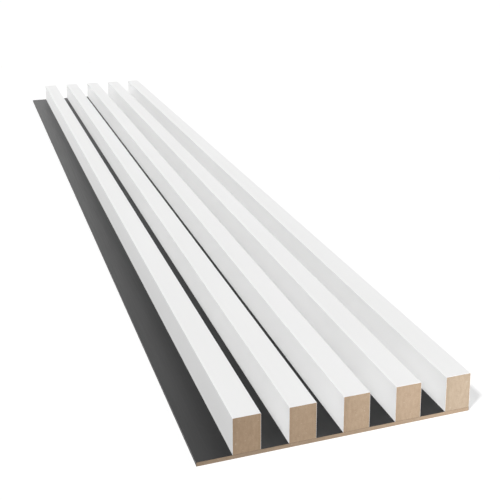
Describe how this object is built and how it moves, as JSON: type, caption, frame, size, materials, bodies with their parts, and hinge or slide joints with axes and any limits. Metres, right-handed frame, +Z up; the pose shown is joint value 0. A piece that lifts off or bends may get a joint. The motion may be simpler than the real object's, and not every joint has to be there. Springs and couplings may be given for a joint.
{
  "type": "acoustic slat panel",
  "caption": "Slatted wall panel: white film-wrapped fibreboard slats glued side by side on a thin black-faced board, with one bare margin and raw sawn ends.",
  "frame": {"origin": "middle of the board's flat back face, which the panel lies on", "axes": "+Z up out of the board, the way the slats stand; +Y along the slats; +X across them, from the bare margin towards the slat that is flush with the board's edge"},
  "size_m": [0.206, 1.2, 0.03],
  "materials": {
    "raw_slat": "matte",
    "raw_board": "matte",
    "white_film": "satin",
    "black_film": "satin"
  },
  "bodies": {
    "root": {"backing_board": "raw_board", "board_wrap": "black_film", "slat_core_1": "raw_slat", "slat_core_2": "raw_slat", "slat_core_3": "raw_slat", "slat_core_4": "raw_slat", "slat_core_5": "raw_slat", "slat_wrap_1": "white_film", "slat_wrap_2": "white_film", "slat_wrap_3": "white_film", "slat_wrap_4": "white_film", "slat_wrap_5": "white_film"}
  },
  "joints": []
}
